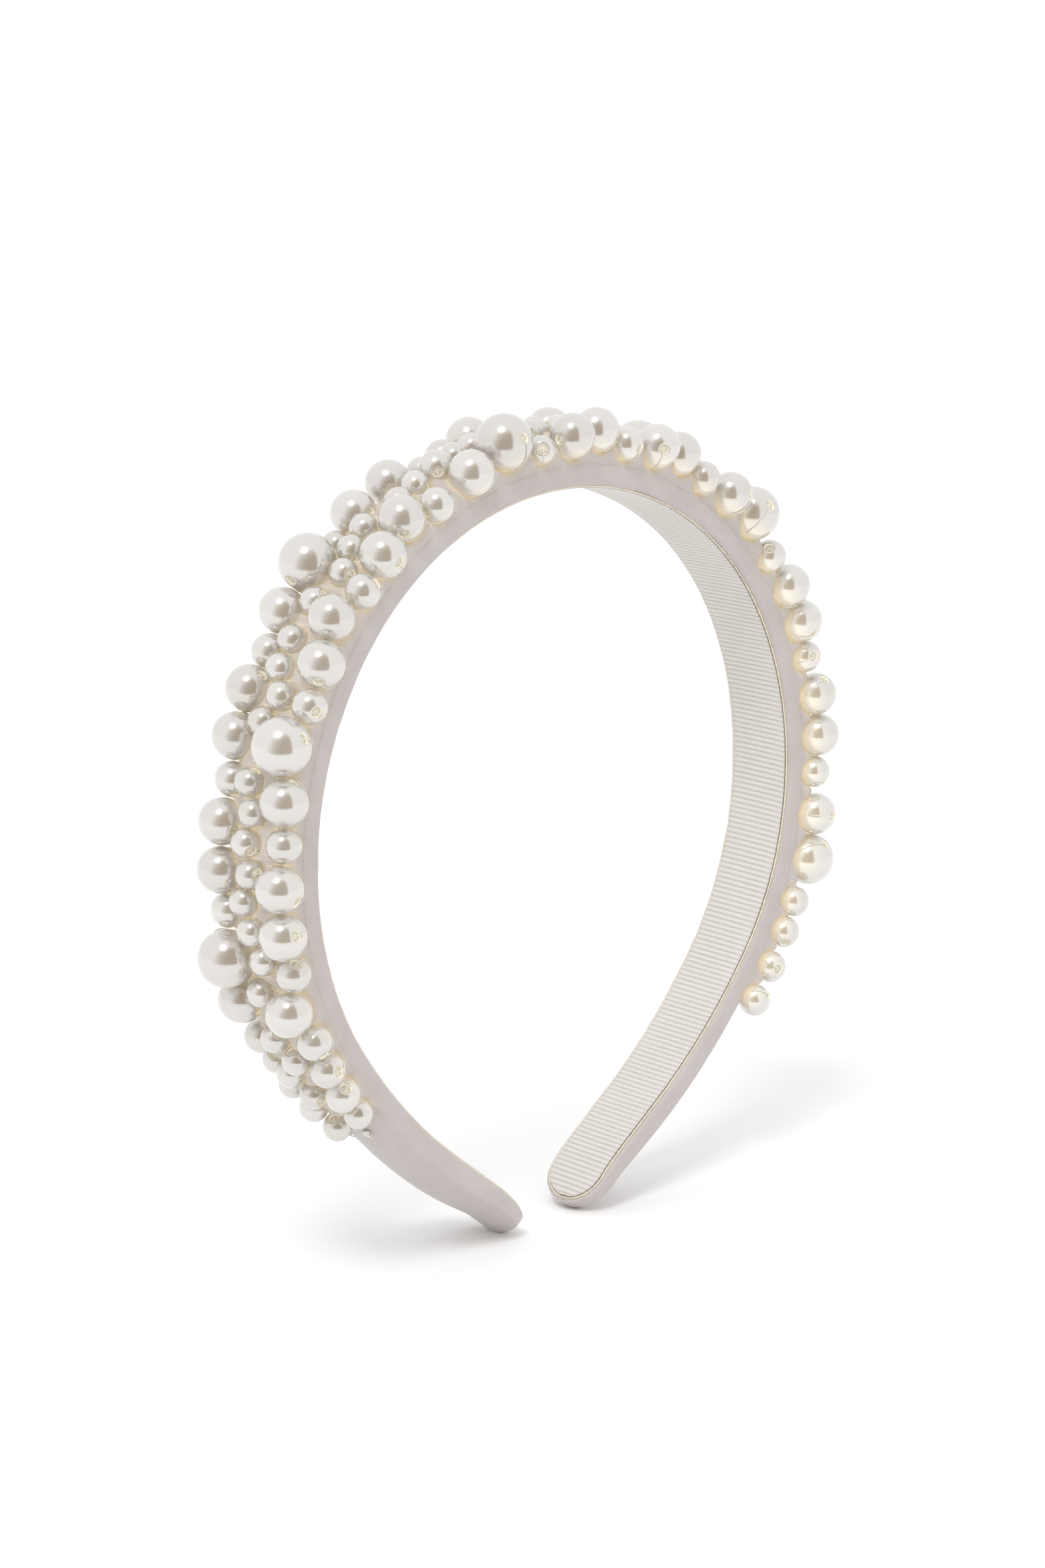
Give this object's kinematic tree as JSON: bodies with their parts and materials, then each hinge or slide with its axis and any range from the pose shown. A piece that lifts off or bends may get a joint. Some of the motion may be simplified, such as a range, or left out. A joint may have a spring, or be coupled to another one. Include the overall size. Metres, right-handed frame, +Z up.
{
  "type": "headband",
  "caption": "Padded satin headband closely sewn with pearls, with a grosgrain lining ribbon and two springy arms.",
  "frame": {"origin": "midway between the two tips, on the surface that the headband stands on", "axes": "+Z up from the tips to the crown, +X across the head towards the right arm, +Y across the width of the band, from the front row of pearls to the back row"},
  "size_m": [0.1544, 0.0224, 0.1508],
  "materials": {
    "satin": "satin weave with a soft sheen",
    "ribbon": "ribbed grosgrain",
    "core": "plain moulded strip",
    "padding": "soft foam",
    "glue": "clear yellowed glue",
    "pearl": "pearl lacquer",
    "thread": "clear nylon"
  },
  "bodies": {
    "crown": {"crown_core": "core", "crown_padding": "padding", "crown_satin": "satin", "crown_ribbon": "ribbon", "crown_glue_lines": "glue", "crown_pearls_10mm": "pearl", "crown_pearls_8mm": "pearl", "crown_pearls_6mm": "pearl", "crown_pearls_5mm": "pearl", "crown_thread": "thread"},
    "left_arm": {"left_core": "core", "left_padding": "padding", "left_satin": "satin", "left_ribbon": "ribbon", "left_glue_lines": "glue", "left_pearls_10mm": "pearl", "left_pearls_8mm": "pearl", "left_pearls_6mm": "pearl", "left_pearls_5mm": "pearl", "left_thread": "thread"},
    "right_arm": {"right_core": "core", "right_padding": "padding", "right_satin": "satin", "right_ribbon": "ribbon", "right_glue_lines": "glue", "right_pearls_10mm": "pearl", "right_pearls_8mm": "pearl", "right_pearls_6mm": "pearl", "right_pearls_5mm": "pearl", "right_thread": "thread"}
  },
  "joints": [
    {"name": "left_flex", "type": "hinge", "parent": "crown", "child": "left_arm", "pos_m": [-0.03997, 0, 0.13708], "axis": [0, 1, 0], "range_deg": [-2, 20], "stiffness_Nm_per_rad": 1.3},
    {"name": "right_flex", "type": "hinge", "parent": "crown", "child": "right_arm", "pos_m": [0.03997, 0, 0.13708], "axis": [0, -1, 0], "range_deg": [-2, 20], "stiffness_Nm_per_rad": 1.3}
  ]
}
